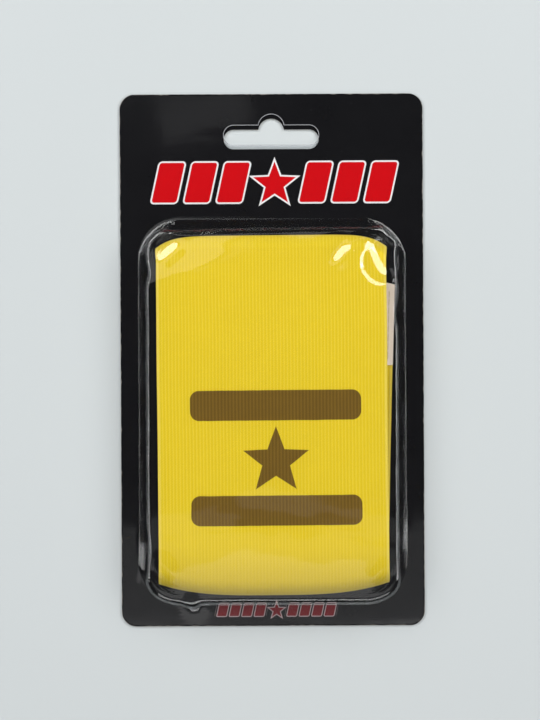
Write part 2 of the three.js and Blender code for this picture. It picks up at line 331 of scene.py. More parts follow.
class Finish:
    """A material, wired one node at a time."""

    def __init__(self, name):
        self.material = bpy.data.materials.new(name)
        self.material.use_nodes = True
        self.tree = self.material.node_tree
        self.tree.nodes.clear()

    def node(self, kind, inputs=None, **settings):
        made = self.tree.nodes.new("ShaderNode" + kind)
        for setting, value in settings.items():
            setattr(made, setting, value)
        for socket, value in (inputs or {}).items():
            if isinstance(value, bpy.types.NodeSocket):
                self.tree.links.new(value, made.inputs[socket])
            else:
                made.inputs[socket].default_value = value
        return made

    def math(self, operation, *inputs):
        return self.node("Math", dict(enumerate(inputs)), operation=operation).outputs[0]

    def mix(self, share, first, second):
        return self.node("Mix", {0: share, 6: first, 7: second}, data_type="RGBA").outputs[2]

    def fade(self, value, low, high, at_low=0.0, at_high=1.0):
        """A soft step from one level to another."""
        inputs = {0: value, 1: low, 2: high, 3: at_low, 4: at_high}
        return self.node("MapRange", inputs, interpolation_type="SMOOTHSTEP").outputs[0]

    def grain(self, place, stretch, detail=2.0):
        """Noise whose features are 1 / stretch metres long along each axis."""
        scaled = self.node("VectorMath", {0: place, 1: stretch}, operation="MULTIPLY").outputs[0]
        return self.node("TexNoise", {"Vector": scaled, "Scale": 1.0, "Detail": detail}).outputs[0]

    def parts(self, place):
        return self.node("SeparateXYZ", {0: place}).outputs

    def place(self):
        return self.node("TexCoord").outputs["Object"]

    def flat_place(self):
        return self.node("UVMap", uv_map="flat").outputs[0]

    def bump(self, height, distance, strength=1.0):
        inputs = {"Height": height, "Distance": distance, "Strength": strength}
        return self.node("Bump", inputs).outputs[0]

    def surface(self, inputs):
        shader = self.node("BsdfPrincipled", inputs)
        self.node("OutputMaterial", {0: shader.outputs[0]})
        return self.material

    def star(self, across, along, size):
        """Signed distance from the edge of a five-pointed star, in metres, less than 0 inside."""
        tip = 2 * math.pi / 5
        inner = STAR_INNER * size
        edge = Vector((inner * math.cos(tip / 2) - size, inner * math.sin(tip / 2)))
        normal = Vector((edge.y, -edge.x)).normalized()
        angle = self.math("ARCTAN2", across, along)
        turned = self.math("WRAP", angle, tip / 2, -tip / 2)
        squares = [self.math("MULTIPLY", value, value) for value in (across, along)]
        far = self.math("SQRT", self.math("ADD", *squares))
        out = self.math("SUBTRACT", self.math("MULTIPLY", far, self.math("COSINE", turned)), size)
        side = self.math("ABSOLUTE", self.math("MULTIPLY", far, self.math("SINE", turned)))
        return self.math(
            "ADD", self.math("MULTIPLY", out, normal.x), self.math("MULTIPLY", side, normal.y)
        )

    def box(self, across, along, half_width, half_height, corner=0.0):
        """Signed distance from the edge of a rectangle with round corners."""
        outside = []
        for value, half in ((across, half_width), (along, half_height)):
            outside.append(self.math("SUBTRACT", self.math("ABSOLUTE", value), half - corner))
        beyond = [self.math("MAXIMUM", value, 0.0) for value in outside]
        squares = [self.math("MULTIPLY", value, value) for value in beyond]
        far = self.math("SQRT", self.math("ADD", *squares))
        near = self.math("MINIMUM", self.math("MAXIMUM", *outside), 0.0)
        return self.math("SUBTRACT", self.math("ADD", far, near), corner)


# Elastic strip


def run(start, end, steps, crown=0.0, leans=False):
    """Stations (y, z, swell, leans) on a straight stretch, without its last point."""
    stations = []
    for step in range(steps):
        share = step / steps
        swell = crown * (1 - (2 * share - 1) ** 4)
        y = start[0] + (end[0] - start[0]) * share
        z = start[1] + (end[1] - start[1]) * share
        stations.append((y, z, swell, leans))
    return stations


def turn(centre, radius, start_deg, steps):
    """Stations round half a circle, without its last point."""
    stations = []
    for step in range(steps):
        angle = math.radians(start_deg + 180 * step / steps)
        y = centre[0] + radius * math.cos(angle)
        z = centre[1] + radius * math.sin(angle)
        stations.append((y, z, 0, False))
    return stations


def strip_stations():
    """The strip's middle line, from its inner end over both folds to its outer end."""
    dipped_z = inner_end_z - INNER_END_DIP
    top_radius = (front_z - dipped_z) / 2
    bottom_radius = (front_z - outer_end_z) / 2
    top = (top_fold_y - BAND_THICK / 2 - top_radius, (front_z + dipped_z) / 2)
    bottom = (bottom_fold_y + BAND_THICK / 2 + bottom_radius, (front_z + outer_end_z) / 2)
    dip_start = (outer_end_y + BAND_THICK, inner_end_z)
    return [
        *run((inner_end_y, inner_end_z), dip_start, INNER_STEPS),
        *run(dip_start, (top[0], dipped_z), DIP_STEPS),
        *turn(top, top_radius, -90, TOP_FOLD_STEPS),
        *run((top[0], front_z), (bottom[0], front_z), FRONT_STEPS, FRONT_CROWN),
        *turn(bottom, bottom_radius, 90, BOTTOM_FOLD_STEPS),
        *run((bottom[0], outer_end_z), (outer_end_y, outer_end_z), OUTER_STEPS, leans=True),
        (outer_end_y, outer_end_z, 0, True),
    ]


def settle(across, y, z, leans):
    """Where a point of the loop lies. The folds' corners draw in, and the outer end leans to the right."""
    share = np.abs(across) / (BAND_WIDTH / 2)
    at_top = smoothstep(y, top_fold_y - DRAW_REACH, top_fold_y)
    at_bottom = 1 - smoothstep(y, bottom_fold_y, bottom_fold_y + DRAW_REACH)
    drawn = (
        y
        - at_top * CORNER_DRAW * share**TOP_DRAW_POWER
        + at_bottom * CORNER_DRAW * share**BOTTOM_DRAW_POWER
    )
    leant = across + leans * math.tan(OUTER_END_LEAN) * (y - bottom_fold_y)
    x = leant * math.cos(BAND_TURN) - drawn * math.sin(BAND_TURN)
    y = leant * math.sin(BAND_TURN) + drawn * math.cos(BAND_TURN) + loop_middle_y
    return np.stack([x, y, z], axis=-1)


def lay_strip(name, stations, columns, ripple):
    """A sheet along the stations, with its flat place kept as a UV map in metres."""
    y, z, swell, leans = (np.array(values)[:, None] for values in zip(*stations))
    across = (np.arange(columns + 1) / columns - 0.5) * BAND_WIDTH
    across, y, z, swell, leans = np.broadcast_arrays(across, y, z, swell, leans)
    wave = np.empty(across.shape)
    for place in np.ndindex(across.shape):
        spot = [value[place] * scale for value, scale in zip((across, y, z), RIPPLE_SCALE)]
        wave[place] = noise.noise(Vector(spot))
    swollen = z + swell * (1 - (across / (BAND_WIDTH / 2)) ** 2) + ripple * wave
    points = settle(across + ripple * wave, y, swollen, leans)
    rows = len(stations)
    steps = np.linalg.norm(np.diff(points[:, columns // 2], axis=0), axis=1)
    along = np.concatenate([[0], np.cumsum(steps)])
    corner = np.arange((rows - 1) * (columns + 1)).reshape(rows - 1, columns + 1)[:, :-1].ravel()
    faces = np.stack([corner, corner + columns + 1, corner + columns + 2, corner + 1], axis=1)
    mesh = bpy.data.meshes.new(name)
    mesh.from_pydata(points.reshape(-1, 3).tolist(), [], faces.tolist())
    flat = np.stack(np.broadcast_arrays(across + BAND_WIDTH / 2, along[:, None]), axis=-1)
    layer = mesh.uv_layers.new(name="flat")
    layer.data.foreach_set("uv", flat.reshape(-1, 2)[faces.ravel()].ravel())
    sheet = bpy.data.objects.new(name, mesh)
    bpy.context.collection.objects.link(sheet)
    return sheet, along


def take(piece):
    """Makes the piece the only one selected and active."""
    bpy.ops.object.select_all(action="DESELECT")
    piece.select_set(True)
    bpy.context.view_layer.objects.active = piece


def apply_modifier(piece, kind, **settings):
    take(piece)
    modifier = piece.modifiers.new(kind.title(), kind)
    for setting, value in settings.items():
        setattr(modifier, setting, value)
    bpy.ops.object.modifier_apply(modifier=modifier.name)


def smooth(piece, degrees):
    take(piece)
    bpy.ops.object.shade_smooth_by_angle(angle=math.radians(degrees))


def make_elastic_band():
    columns = RIBS * RIB_POINTS
    band, along = lay_strip("ribbed_elastic_band", strip_stations(), columns, RIPPLE)
    ribs = band.vertex_groups.new(name="ribs")
    count = len(band.data.vertices)
    column = np.arange(count) % (columns + 1)
    height = np.sin(math.pi * column / RIB_POINTS) ** 2
    for level in np.unique(np.round(height, 3)):
        members = np.flatnonzero(np.abs(height - level) < 0.001)
        ribs.add(members.tolist(), float(level) ** RIB_FULLNESS, "REPLACE")
    apply_modifier(
        band,
        "SOLIDIFY",
        thickness=BAND_THICK,
        offset=0,
        use_even_offset=True,
        vertex_group=ribs.name,
        thickness_vertex_group=VALLEY_SHARE,
        material_offset=1,
    )
    band.vertex_groups.clear()
    smooth(band, 75)
    return band, along


def elastic_finish(name, print_middle=None):
    """Yellow ribbed knit with painted shade at its foot and between the ribs and painted highlights on the
    crests; with the print if its middle along the strip is given.
    """
    knit = Finish(name)
    flat = knit.flat_place()
    across, along = knit.parts(flat)[:2]
    turns = knit.math("MULTIPLY", across, math.pi * RIBS / BAND_WIDTH)
    wave = knit.math("SINE", turns)
    crest = knit.math("MULTIPLY", wave, wave)
    rows = knit.math("SINE", knit.math("MULTIPLY", along, 2 * math.pi / LOOP_PITCH))
    loops = knit.math("MULTIPLY", rows, knit.math("SINE", knit.math("MULTIPLY", turns, 2.0)))
    streaks = knit.grain(flat, (900, 22, 1))
    mottle = knit.grain(flat, (160, 150, 1), 3.0)
    fuzz = knit.grain(flat, (3200, 2600, 1), 3.0)
    # painted shade: the valleys between the ribs get a darker yellow than the crests; the streaks and
    # mottle are the yarn's own
    shaded_valley_yellow = knit.mix(streaks, paint(226, 194, 20), paint(232, 201, 28))
    pale = knit.mix(mottle, paint(230, 200, 26), paint(236, 207, 38))
    colour = knit.mix(knit.fade(crest, 0.0, 0.5), shaded_valley_yellow, pale)
    # a painted highlight along each rib's crest
    colour = knit.mix(knit.fade(crest, 0.88, 1.0, 0.0, 0.5), colour, paint(242, 220, 84))
    colour = knit.mix(knit.fade(loops, 0.2, 1.0, 0.0, 0.3), colour, paint(216, 182, 18))
    y = knit.parts(knit.place())[1]
    # painted shade: the knit is darkened towards its foot, where the bottom fold turns away from the light
    painted_foot_shade = knit.fade(y, band_low.y + FOOT_PAINTED_SHADE_FROM, band_low.y + FOOT_PAINTED_SHADE_TO, 0.45, 0.0)
    colour = knit.mix(painted_foot_shade, colour, paint(176, 150, 18))
    half = BAND_WIDTH / 2
    from_middle = knit.math("ABSOLUTE", knit.math("SUBTRACT", across, half))
    selvedge = knit.fade(from_middle, half - SELVEDGE_INNER, half - SELVEDGE_OUTER, 0.0, 0.35)
    colour = knit.mix(selvedge, colour, paint(244, 226, 120))
    if print_middle is not None:
        colour = print_motif(knit, across, along, print_middle, colour, crest, mottle)
    height = knit.math("ADD", knit.math("MULTIPLY", crest, 0.2), knit.math("MULTIPLY", loops, 0.3))
    height = knit.math("ADD", height, knit.math("MULTIPLY", fuzz, 0.4))
    return knit.surface(
        {
            "Base Color": colour,
            "Roughness": 0.82,
            "Specular IOR Level": 0.25,
            "Sheen Weight": 0.12,
            "Sheen Roughness": 0.4,
            "Normal": knit.bump(height, 0.12 * MM, 0.8),
        }
    )


def print_motif(knit, across, along, middle, colour, crest, mottle):
    """A star between two round-cornered bars in a brown ink, with painted highlights on the ribs' crests
    and painted shade between them.
    """
    x = knit.math("SUBTRACT", across, BAND_WIDTH / 2 + PRINT_MIDDLE_X)
    y = knit.math("SUBTRACT", middle, along)
    to_bar = knit.math("SUBTRACT", knit.math("ABSOLUTE", y), PRINT_HALF_HEIGHT - PRINT_BAR / 2)
    bars = knit.box(x, to_bar, PRINT_HALF_WIDTH, PRINT_BAR / 2, PRINT_CORNER)
    star = knit.star(x, knit.math("ADD", y, PRINT_STAR * STAR_DROP), PRINT_STAR)
    distance = knit.math("MINIMUM", bars, star)
    ragged = knit.math("MULTIPLY", knit.math("SUBTRACT", mottle, 0.5), INK_RAGGED)
    inked = knit.fade(knit.math("ADD", distance, ragged), -INK_EDGE, INK_EDGE, 1.0, 0.0)
    ink = knit.mix(mottle, paint(108, 80, 12), paint(119, 91, 20))
    # painted highlight on the crests and painted shade in the valleys of the inked ribs
    ink = knit.mix(knit.fade(crest, 0.88, 1.0, 0.0, 0.5), ink, paint(134, 107, 34))
    ink = knit.mix(knit.fade(crest, 0.0, 0.4), paint(104, 76, 10), ink)
    return knit.mix(inked, colour, ink)


# Patches and seams


def make_tape(name, start_y, middle_z, thick, leans):
    """One patch of tape: a thin sheet laid flat along its stretch of the loop."""
    end_y = start_y + PATCH_LENGTH
    stations = run((start_y, middle_z), (end_y, middle_z), TAPE_STEPS, leans=leans)
    stations.append((end_y, middle_z, 0, leans))
    tape, _ = lay_strip(name, stations, TAPE_COLUMNS, 0.0)
    apply_modifier(tape, "SOLIDIFY", thickness=thick, offset=0)
    smooth(tape, 40)
    return tape


def select_in(piece, kind, wanted):
    """In edit mode, selects only the edges or faces that wanted() picks."""
    bpy.ops.mesh.select_mode(type=kind)
    bpy.ops.mesh.select_all(action="DESELECT")
    mesh = bmesh.from_edit_mesh(piece.data)
    for part in {"EDGE": mesh.edges, "FACE": mesh.faces}[kind]:
        if wanted(part):
            part.select_set(True)
    mesh.select_flush_mode()
    bmesh.update_edit_mesh(piece.data)


def settle_piece(piece, z, leans):
    """Moves a piece that was laid out flat, in across and along, to its place on the loop."""
    count = len(piece.data.vertices)
    points = np.empty(count * 3)
    piece.data.vertices.foreach_get("co", points)
    points = points.reshape(-1, 3)
    placed = settle(points[:, 0], points[:, 1], points[:, 2] + z, np.full(count, leans))
    piece.data.vertices.foreach_set("co", placed.ravel())
    piece.data.update()


def repeat(piece, step, copies):
    """A row of copies, each one step on from the last."""
    apply_modifier(
        piece,
        "ARRAY",
        count=copies,
        constant_offset_displace=step,
        use_relative_offset=False,
        use_constant_offset=True,
    )


def place_in_mesh(piece):
    """Puts the piece's place, turn and size into its mesh, so that it sits at the origin."""
    take(piece)
    bpy.ops.object.transform_apply(location=True, rotation=True, scale=True)


def selected_middle(piece):
    """In edit mode, the middle of the selected points."""
    chosen = [vertex.co for vertex in bmesh.from_edit_mesh(piece.data).verts if vertex.select]
    return sum(chosen, Vector()) / len(chosen)


def make_hooks():
    """Rows of small bent hooks that stand on the tape's base and end level with the patch."""
    rise = hook_high.z - hook_low.z - TAPE_THICK
    half = BAND_WIDTH / 2 - HOOK_MARGIN
    field = PATCH_LENGTH - 2 * HOOK_PITCH
    bpy.ops.object.select_all(action="DESELECT")
    bpy.ops.mesh.primitive_cylinder_add(
        vertices=5,
        radius=HOOK_WIRE / 2,
        depth=rise / 2,
        location=(-half, outer_end_y - HOOK_PITCH, rise / 4),
    )
    hooks = bpy.context.object
    hooks.name = "hook_field"
    place_in_mesh(hooks)
    bpy.ops.object.mode_set(mode="EDIT")
    select_in(hooks, "FACE", lambda face: face.normal.z > FACING)
    for lift, reach, turn_deg in HOOK_BENDS:
        bpy.ops.mesh.extrude_region_move(
            TRANSFORM_OT_translate={"value": (0, reach * rise, lift * rise)}
        )
        bpy.ops.transform.rotate(
            value=math.radians(turn_deg), orient_axis="X", center_override=selected_middle(hooks)
        )
    bpy.ops.object.mode_set(mode="OBJECT")
    repeat(hooks, (HOOK_PITCH, 0, 0), int(2 * half / HOOK_PITCH) + 1)
    repeat(hooks, (0, -HOOK_PITCH, 0), int(field / HOOK_PITCH) + 1)
    settle_piece(hooks, hook_low.z + TAPE_THICK, True)
    smooth(hooks, 60)
    return hooks


def make_stitch(middle, run_along_y):
    """One thread passage: a short bar with drawn-in ends, lying on the cloth."""
    bpy.ops.object.select_all(action="DESELECT")
    turn_to = (math.pi / 2, 0, 0) if run_along_y else (0, math.pi / 2, 0)
    bpy.ops.mesh.primitive_cylinder_add(
        vertices=6,
        radius=STITCH_WIDTH / 2,
        depth=STITCH_LENGTH,
        location=middle,
        rotation=turn_to,
    )
    stitch = bpy.context.object
    place_in_mesh(stitch)
    bpy.ops.object.mode_set(mode="EDIT")
    axis = 1 if run_along_y else 0
    for side in (1, -1):
        select_in(stitch, "FACE", lambda face: face.normal[axis] * side > FACING)
        end = selected_middle(stitch)
        out = Vector((0, 0, -STITCH_WIDTH * STITCH_END_DROP))
        out[axis] = side * STITCH_WIDTH * STITCH_END_OUT
        bpy.ops.mesh.extrude_region_move(TRANSFORM_OT_translate={"value": out})
        bpy.ops.transform.resize(value=[STITCH_END_SIZE] * 3, center_override=end + out)
    bpy.ops.object.mode_set(mode="OBJECT")
    return stitch


def make_seam(name, low_y, high_y, z, leans):
    """A rectangle of stitches just inside a patch's edges, in the strip's own flat place."""
    half = BAND_WIDTH / 2 - SEAM_INSET
    low = low_y + SEAM_INSET
    high = high_y - SEAM_INSET
    sides = []
    for y in (low, high):
        stitch = make_stitch((-half + STITCH_PITCH / 2, y, 0), False)
        repeat(stitch, (STITCH_PITCH, 0, 0), int(2 * half / STITCH_PITCH))
        sides.append(stitch)
    for x in (-half, half):
        stitch = make_stitch((x, low + STITCH_PITCH / 2, 0), True)
        repeat(stitch, (0, STITCH_PITCH, 0), int((high - low) / STITCH_PITCH))
        sides.append(stitch)
    bpy.ops.object.select_all(action="DESELECT")
    for side in sides:
        side.select_set(True)
    bpy.context.view_layer.objects.active = sides[0]
    bpy.ops.object.join()
    seam = sides[0]
    seam.name = name
    settle_piece(seam, z, leans)
    smooth(seam, 50)
    return seam


def tape_finish(name, base, dark, nap):
    """Woven tape in one plain colour, with a nap of its own coarseness."""
    weave = Finish(name)
    flat = weave.flat_place()
    across, along = weave.parts(flat)[:2]
    warp = weave.math("SINE", weave.math("MULTIPLY", across, 2 * math.pi / WARP_PITCH))
    weft = weave.math("SINE", weave.math("MULTIPLY", along, 2 * math.pi / WEFT_PITCH))
    threads = weave.math("MULTIPLY", warp, weft)
    mottle = weave.grain(flat, (230, 230, 1), 3.0)
    fibres = weave.grain(flat, (nap, nap, 1), 4.0)
    colour = weave.mix(mottle, dark, base)
    colour = weave.mix(weave.fade(threads, -1.0, 0.4, 0.35, 0.0), colour, dark)
    height = weave.math("ADD", weave.math("MULTIPLY", threads, 0.5), fibres)
    return weave.surface(
        {
            "Base Color": colour,
            "Roughness": 0.9,
            "Specular IOR Level": 0.2,
            "Sheen Weight": 0.3,
            "Normal": weave.bump(height, 0.1 * MM, 0.8),
        }
    )


def thread_finish(name, base, dark):
    """Twisted thread or wire in one colour."""
    thread = Finish(name)
    x, y = thread.parts(thread.place())[:2]
    twist = thread.math("SINE", thread.math("MULTIPLY", thread.math("ADD", x, y), THREAD_TWIST))
    colour = thread.mix(thread.fade(twist, -0.8, 0.5), dark, base)
    return thread.surface(
        {
            "Base Color": colour,
            "Roughness": 0.6,
            "Sheen Weight": 0.2,
            "Normal": thread.bump(twist, 0.05 * MM, 0.7),
        }
    )


# Clear film


def outline(middle, half_x, half_y, corner):
    """Points round a rounded rectangle, the ways out, and how near each is to a corner's middle."""
    arc = np.linspace(0, math.pi / 2, CORNER_POINTS + 1)
    centres = np.array([(1, 1), (-1, 1), (-1, -1), (1, -1)]) * (half_x - corner, half_y - corner)
    corners, ways = [], []
    for side, centre in enumerate(centres):
        angle = arc + side * math.pi / 2
        ways.append(np.stack([np.cos(angle), np.sin(angle)], axis=1))
        corners.append(centre + corner * ways[-1])
    points, outward, bend = [], [], []
    for side in range(4):
        count = SIDE_POINTS_Y if side % 2 else SIDE_POINTS_X
        shares = np.arange(1, count)[:, None] / count
        last, following = corners[side][-1], corners[(side + 1) % 4][0]
        points += [corners[side], last * (1 - shares) + following * shares]
        outward += [ways[side], np.repeat(ways[side][-1:], count - 1, axis=0)]
        bend += [np.sin(2 * arc) ** 2, np.zeros(count - 1)]
    return np.concatenate(points) + (middle.x, middle.y), np.concatenate(outward), np.concatenate(bend)


def shell_profile(outward, bend, across):
    """Insets and heights all round, over the foot, the wall and the shoulder to the edge of the face."""
    at_bottom = np.clip(-outward[:, 1], 0, 1) ** 2
    radius = SIDE_SHOULDER + (BOTTOM_SHOULDER - SIDE_SHOULDER) * at_bottom
    radius += (CORNER_SHOULDER - radius) * bend
    at_left = np.clip(0.5 - across / (2 * shell_half.x), 0, 1)
    at_top = np.clip(outward[:, 1], 0, 1) ** 2
    draft = WALL_DRAFT + (BOTTOM_DRAFT - WALL_DRAFT) * at_bottom
    draft += (CORNER_DRAFT - draft) * bend + TOP_LEFT_DRAFT * at_top * at_left
    root = ROOT_RADIUS + (TOP_CORNER_ROOT - ROOT_RADIUS) * bend * (outward[:, 1] > 0)
    head_inset = np.maximum(ROOT_RADIUS + draft, root + LEAST_WALL_INSET)
    head_height = shell_depth - FACE_CROWN - radius
    profile = []
    for step in range(1, ROOT_STEPS + 1):
        angle = math.pi / 2 * step / ROOT_STEPS
        profile.append((root * math.sin(angle), root * (1 - math.cos(angle))))
    foot = profile[-1]
    for step in range(1, WALL_STEPS):
        share = step / WALL_STEPS
        inset = foot[0] * (1 - share) + head_inset * share
        profile.append((inset, foot[1] * (1 - share) + head_height * share))
    for step in range(SHOULDER_STEPS + 1):
        angle = math.pi / 2 * step / SHOULDER_STEPS
        inset = head_inset + radius * (1 - math.cos(angle))
        profile.append((inset, head_height + radius * math.sin(angle)))
    return profile


def film_rings():
    """The film's upper skin as rings, from the flange's edge to near the face's middle, and that middle."""
    card_middle = (card_low + card_high) / 2
    edge_half = (shell_high - shell_low) / 2
    edge = outline(card_middle, edge_half.x, edge_half.y, FILM_EDGE_CORNER)[0]
    foot, outward, bend = outline(shell_middle, shell_half.x, shell_half.y, SHELL_CORNER)
    nothing = np.zeros(len(foot))
    profile = [(nothing, nothing), *shell_profile(outward, bend, foot[:, 0] - shell_middle.x)]
    last, height = profile[-1]
    profile += [(last + FACE_INSET * step, height) for step in range(1, FACE_INSETS + 1)]
    rings = []
    for step in range(FLANGE_RINGS):
        share = 1 - (1 - step / FLANGE_RINGS) ** FLANGE_SPACING
        rings.append(np.column_stack([edge * (1 - share) + foot * share, np.full(len(foot), flange_z)]))
    for inset, rise in profile:
        rings.append(np.column_stack([foot - outward * inset[:, None], flange_z + rise]))
    face = rings[-1]
    middle = np.array([shell_middle.x, shell_middle.y, face[0, 2]])
    for step in range(1, FACE_RINGS):
        rings.append(face + (middle - face) * (step / FACE_RINGS) ** FACE_SPACING)
    return rings, middle


def make_film():
    """One formed sheet: a flange of the card's outline, drawn up into a tray over the band."""
    rings, middle = film_rings()
    count = len(rings[0])
    points = np.concatenate([*rings, [middle]])
    shape_film(points)
    faces = []
    for start in range(0, (len(rings) - 1) * count, count):
        above = start + count
        for step in range(count):
            following = (step + 1) % count
            faces.append((start + step, start + following, above + following, above + step))
    start = (len(rings) - 1) * count
    faces += [(start + step, start + (step + 1) % count, len(points) - 1) for step in range(count)]
    mesh = bpy.data.meshes.new("blister_film")
    mesh.from_pydata(points.tolist(), [], faces)
    film = bpy.data.objects.new("blister_film", mesh)
    bpy.context.collection.objects.link(film)
    apply_modifier(film, "SOLIDIFY", thickness=FILM_THICK, offset=-1)
    cut_slot(film)
    smooth(film, 60)
    return film


def shape_film(points):
    """Crowns the face, then shapes the thin film's dents, dimples, slopes, folds and ripples."""
    x, y = points[:, 0] - shell_middle.x, points[:, 1] - shell_middle.y
    height = points[:, 2] - flange_z
    edge_inset = ROOT_RADIUS + WALL_DRAFT + SIDE_SHOULDER
    share_x = np.minimum(np.abs(x) / (shell_half.x - edge_inset), 1)
    share_y = np.minimum(np.abs(y) / (shell_half.y - edge_inset), 1)
    on_face = height > shell_depth - FACE_CROWN - LEVEL_MARGIN
    crown = FACE_CROWN * (1 - share_x**4) * (1 - share_y**FACE_CROWN_POWER)
    points[:, 2] += np.where(on_face, crown, 0)
    lift = smoothstep(height, 0, shell_depth)
    high = smoothstep(lift, HIGH_FROM, 1)
    for across, along, reach, push_x, push_y, push_z in DENTS:
        away = np.hypot(x - across * shell_half.x, y - along * shell_half.y)
        near = np.clip(away / (reach * shell_half.y), 0, 1)
        fade = np.cos(near * math.pi / 2) ** 2 * lift * HEAD_ROOM
        points += fade[:, None] * np.array([push_x, push_y, push_z])
    for across, along, radius, stretch, rim, depth in DIMPLES:
        away = np.hypot(x - across * MM, (y - along * MM) / stretch)
        inside = 1 - smoothstep(away, (radius - rim / 2) * MM, (radius + rim / 2) * MM)
        points[:, 2] -= depth * MM * inside * high
    for across, along, length, width, way_deg, tilt_deg in SLOPES:
        out, beside = turned_from(x, y, across, along, way_deg)
        fade = np.exp(-((out / (width * MM)) ** 2) - (2 * beside / (length * MM)) ** 4)
        points[:, 2] -= math.tan(math.radians(tilt_deg)) * out * fade * high
    for across, along, length, width, way_deg, push in FOLDS:
        out, beside = turned_from(x, y, across, along, way_deg)
        fade = np.exp(-((2 * out / (length * MM)) ** 2) - (2 * beside / (width * MM)) ** 2)
        pushed = push * MM * fade * (1 - lift)
        points[:, 0] += math.cos(math.radians(way_deg)) * pushed
        points[:, 1] += math.sin(math.radians(way_deg)) * pushed
        points[:, 2] += FOLD_LIFT * pushed
    for i, point in enumerate(points):
        spot = Vector(point)
        broad = noise.noise(spot * BROAD_SCALE)
        fine = noise.noise(spot * FINE_SCALE + Vector((7, 3, 1)))
        ripple = broad * FACE_RIPPLE + fine * FACE_RIPPLE * FINE_SHARE
        points[i, 2] += ripple * max(lift[i], FLANGE_SHARE)
        side = lift[i] * (1 - on_face[i])
        points[i, 0] += noise.noise(spot * WALL_SCALE + Vector((0, 0, 9))) * WALL_RIPPLE * side
        points[i, 1] += noise.noise(spot * WALL_SCALE + Vector((0, 5, 0))) * WALL_RIPPLE * side


def turned_from(x, y, across, along, turn_deg):
    """Distances from a place on the tray, along a way turned from +X and to the left of it."""
    turned = math.radians(turn_deg)
    from_x, from_y = x - across * MM, y - along * MM
    ahead = from_x * math.cos(turned) + from_y * math.sin(turned)
    beside = from_y * math.cos(turned) - from_x * math.sin(turned)
    return ahead, beside


def bump_circle():
    """The radius of the slot's bump, and how far its centre lies above the slot's middle."""
    bump_half = SLOT_BUMP_WIDTH / 2
    radius = (bump_half**2 + SLOT_BUMP_RISE**2) / (2 * SLOT_BUMP_RISE)
    return radius, SLOT_HEIGHT / 2 + SLOT_BUMP_RISE - radius


def cut_slot(film):
    """Cuts the hanging slot, which was punched a little too high in the film."""
    middle = Vector((0, film_slot_y, flange_z))
    bump_radius, bump_y = bump_circle()
    bpy.ops.object.select_all(action="DESELECT")
    bpy.ops.mesh.primitive_cube_add(size=1, location=middle)
    slot = bpy.context.object
    slot.scale = (SLOT_WIDTH, SLOT_HEIGHT, CUTTER_DEPTH)
    place_in_mesh(slot)
    bpy.ops.object.mode_set(mode="EDIT")
    select_in(slot, "EDGE", is_upright)
    bpy.ops.mesh.bevel(offset=SLOT_HEIGHT * SLOT_END_SHARE, segments=16, affect="EDGES")
    bpy.ops.object.mode_set(mode="OBJECT")
    bpy.ops.object.select_all(action="DESELECT")
    bpy.ops.mesh.primitive_cylinder_add(
        vertices=64,
        radius=bump_radius,
        depth=CUTTER_DEPTH * BUMP_CUTTER_SHARE,
        location=middle + Vector((0, bump_y, 0)),
    )
    bump = bpy.context.object
    place_in_mesh(bump)
    apply_modifier(slot, "BOOLEAN", object=bump, operation="UNION")
    apply_modifier(film, "BOOLEAN", object=slot, operation="DIFFERENCE")
    for cutter in (slot, bump):
        bpy.data.objects.remove(cutter)


def is_upright(edge):
    way = edge.verts[1].co - edge.verts[0].co
    return abs(way.z) > FACING * way.length


def film_finish():
    """Thin clear film: see-through, with a mirror's share of light that grows at a low angle, and a painted
    highlight round its slot.
    """
    film = Finish("clear_film")
    place = film.place()
    back = film.node("NewGeometry").outputs["Backfacing"]
    density = film.math("MULTIPLY_ADD", back, 1 / FILM_IOR - FILM_IOR, FILM_IOR)
    waves = film.grain(place, (30, 85, 60))
    scratches = film.grain(place, (700, 90, 90))
    level = film.parts(place)[2]
    on_head = film.fade(level, shell_high.z - HEAD_FROM, shell_high.z - HEAD_TO, 0.3, 1.0)
    waves = film.math("MULTIPLY", waves, on_head)
    scratches = film.math("MULTIPLY", scratches, film.math("MULTIPLY", on_head, 0.04))
    height = film.math("ADD", waves, scratches)
    height = film.math("ADD", height, draw_lines(film, place))
    normal = film.bump(height, 0.3 * MM, 0.5)
    gloss = film.node("BsdfGlossy", {"Color": (1, 1, 1, 1), "Roughness": 0.06, "Normal": normal})
    clear = film.node("BsdfTransparent", {"Color": (0.975, 0.98, 0.985, 1)})
    share = film.node("Fresnel", {"IOR": density, "Normal": normal}).outputs[0]
    both = film.node("MixShader", {0: share, 1: clear.outputs[0], 2: gloss.outputs[0]})
    # a pale diffuse shader painted round the slot, standing in for the highlight on the film's cut edge
    painted_slot_highlight = film.node("BsdfDiffuse", {"Color": paint(196, 198, 202)})
    edge = slot_edge_highlight(film, place)
    sheet = film.node("MixShader", {0: edge, 1: both.outputs[0], 2: painted_slot_highlight.outputs[0]})
    film.node("OutputMaterial", {0: sheet.outputs[0]})
    return film.material


def slot_edge_highlight(film, place):
    """How strong the painted highlight on the film is round its slot, most of all at the punched edge."""
    x, y = film.parts(place)[:2]
    from_y = film.math("SUBTRACT", y, film_slot_y)
    slot = film.box(x, from_y, SLOT_WIDTH / 2, SLOT_HEIGHT / 2, SLOT_HEIGHT / 2)
    bump_radius, bump_y = bump_circle()
    from_bump = film.math("SUBTRACT", from_y, bump_y)
    squares = [film.math("MULTIPLY", value, value) for value in (x, from_bump)]
    bump = film.math("SUBTRACT", film.math("SQRT", film.math("ADD", *squares)), bump_radius)
    return film.fade(film.math("MINIMUM", slot, bump), 0.02 * MM, FILM_SLOT_HIGHLIGHT_REACH, 0.5, 0.0)


